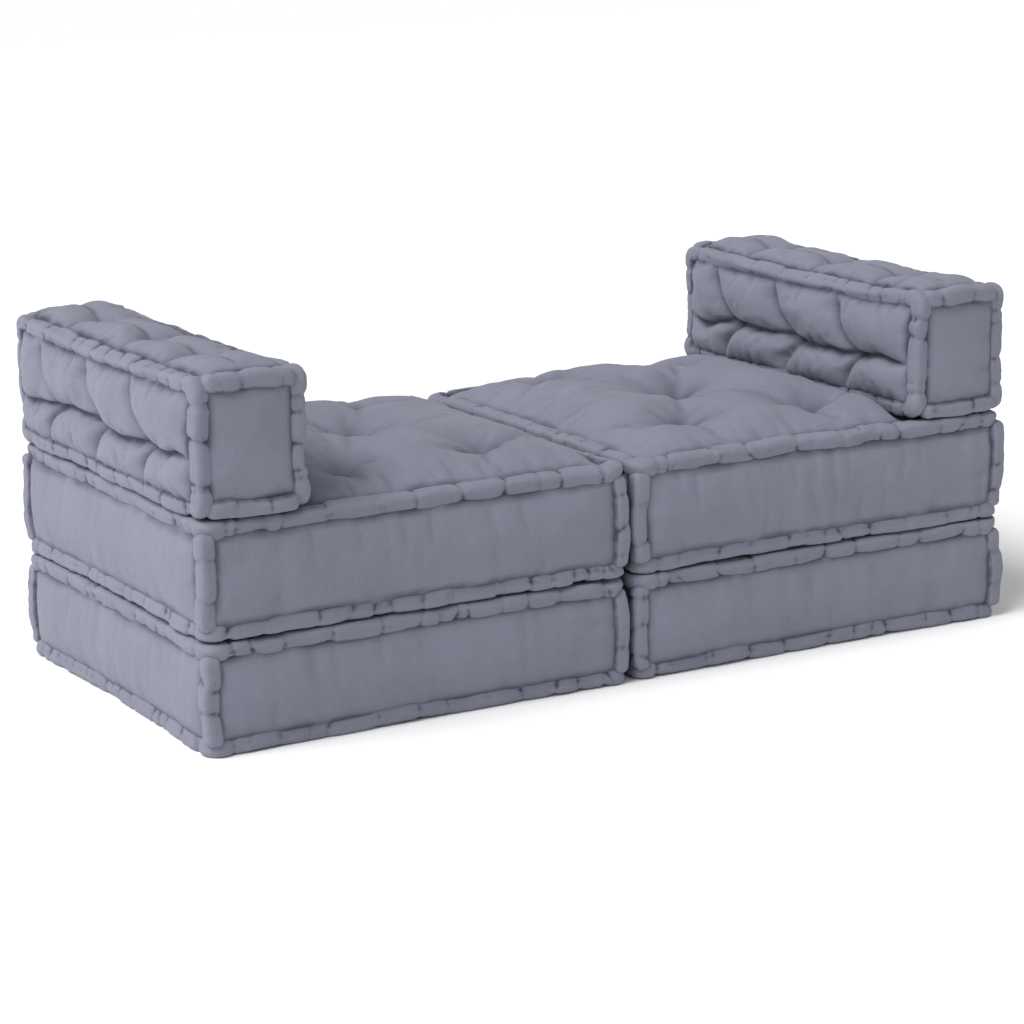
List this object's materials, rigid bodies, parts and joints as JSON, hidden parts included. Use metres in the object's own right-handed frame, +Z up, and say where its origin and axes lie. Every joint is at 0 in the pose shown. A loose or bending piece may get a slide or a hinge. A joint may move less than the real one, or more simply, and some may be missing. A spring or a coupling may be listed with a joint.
{
  "type": "modular sofa",
  "caption": "Low modular sofa of stacked mattress cushions with stitched rolled edges and tufted seats and arms, in slate blue-grey cotton.",
  "frame": {"origin": "on the floor, midway between the two modules and midway between front and rear", "axes": "+X along the sofa to the right as seen from the front, +Y to the rear, +Z up"},
  "size_m": [1.4264, 0.67, 0.5504],
  "materials": {
    "cover": "matt plain-weave cotton",
    "edge_roll": "matt plain-weave cotton, rolled and stitched",
    "filling": "carded cotton wadding",
    "twine": "matt waxed twine"
  },
  "bodies": {
    "left_base": {"left_base_bottom_panel": "cover", "left_base_bottom_roll": "edge_roll", "left_base_corner_rolls": "edge_roll", "left_base_filling": "filling", "left_base_side_panels": "cover", "left_base_top_panel": "cover", "left_base_top_roll": "edge_roll", "left_base_tuft_ties": "twine"},
    "left_seat": {"left_seat_bottom_panel": "cover", "left_seat_bottom_roll": "edge_roll", "left_seat_corner_rolls": "edge_roll", "left_seat_filling": "filling", "left_seat_side_panels": "cover", "left_seat_top_panel": "cover", "left_seat_top_roll": "edge_roll", "left_seat_tuft_ties": "twine"},
    "left_arm": {"left_arm_bottom_panel": "cover", "left_arm_cross_rolls": "edge_roll", "left_arm_end_panels": "cover", "left_arm_filling": "filling", "left_arm_inner_panel": "cover", "left_arm_inner_roll": "edge_roll", "left_arm_outer_panel": "cover", "left_arm_outer_roll": "edge_roll", "left_arm_top_panel": "cover", "left_arm_tuft_ties": "twine"},
    "right_base": {"right_base_bottom_panel": "cover", "right_base_bottom_roll": "edge_roll", "right_base_corner_rolls": "edge_roll", "right_base_filling": "filling", "right_base_side_panels": "cover", "right_base_top_panel": "cover", "right_base_top_roll": "edge_roll", "right_base_tuft_ties": "twine"},
    "right_seat": {"right_seat_bottom_panel": "cover", "right_seat_bottom_roll": "edge_roll", "right_seat_corner_rolls": "edge_roll", "right_seat_filling": "filling", "right_seat_side_panels": "cover", "right_seat_top_panel": "cover", "right_seat_top_roll": "edge_roll", "right_seat_tuft_ties": "twine"},
    "right_arm": {"right_arm_bottom_panel": "cover", "right_arm_cross_rolls": "edge_roll", "right_arm_end_panels": "cover", "right_arm_filling": "filling", "right_arm_inner_panel": "cover", "right_arm_inner_roll": "edge_roll", "right_arm_outer_panel": "cover", "right_arm_outer_roll": "edge_roll", "right_arm_top_panel": "cover", "right_arm_tuft_ties": "twine"}
  },
  "joints": [
    {"name": "left_seat_lift", "type": "slide", "parent": "left_base", "child": "left_seat", "axis": [0, 0, 1], "range_m": [0, 0.25]},
    {"name": "left_arm_lift", "type": "slide", "parent": "left_seat", "child": "left_arm", "axis": [0, 0, 1], "range_m": [0, 0.25]},
    {"name": "right_module_slide", "type": "slide", "parent": "left_base", "child": "right_base", "axis": [1, 0, 0], "range_m": [0, 0.5]},
    {"name": "right_seat_lift", "type": "slide", "parent": "right_base", "child": "right_seat", "axis": [0, 0, 1], "range_m": [0, 0.25]},
    {"name": "right_arm_lift", "type": "slide", "parent": "right_seat", "child": "right_arm", "axis": [0, 0, 1], "range_m": [0, 0.25]}
  ]
}
